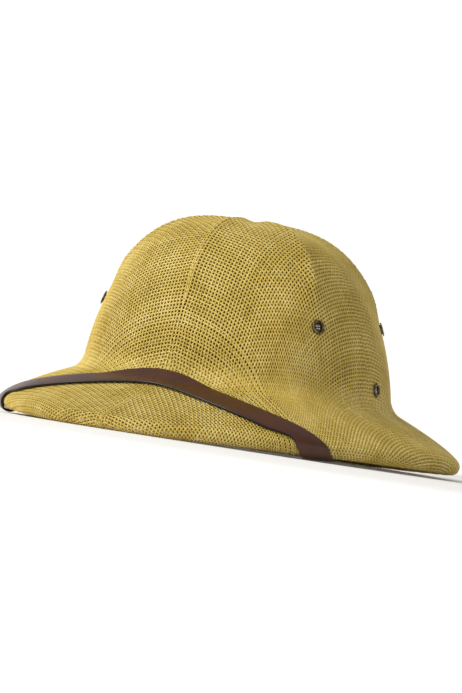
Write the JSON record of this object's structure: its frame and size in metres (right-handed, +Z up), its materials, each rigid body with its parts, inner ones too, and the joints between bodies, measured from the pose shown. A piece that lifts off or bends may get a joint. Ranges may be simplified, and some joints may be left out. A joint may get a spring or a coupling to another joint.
{
  "type": "pith helmet",
  "caption": "Woven straw pith helmet with a ribbed dome, a sloping brim with a rolled rim, screened vent eyelets and a chin strap worn over the front of the brim",
  "frame": {"origin": "on the surface that the hat stands on, under the middle of its outline", "axes": "+Z up; the wearer looks along -Y; the wearer's left is +X"},
  "size_m": [0.2992, 0.331, 0.1462],
  "materials": {
    "straw": "woven straw, matte",
    "strap_leather": "glossy",
    "bronze": "antique, satin",
    "screen_metal": "dark, satin"
  },
  "bodies": {
    "root": {"straw_shell": "straw", "chin_strap": "strap_leather", "strap_post_left": "bronze", "strap_post_right": "bronze", "eyelet_front_left": "bronze", "eyelet_front_right": "bronze", "eyelet_rear_left": "bronze", "eyelet_rear_right": "bronze", "eyelet_low_left": "bronze", "eyelet_low_right": "bronze", "screen_front_left": "screen_metal", "screen_front_right": "screen_metal", "screen_rear_left": "screen_metal", "screen_rear_right": "screen_metal", "screen_low_left": "screen_metal", "screen_low_right": "screen_metal"}
  },
  "joints": []
}
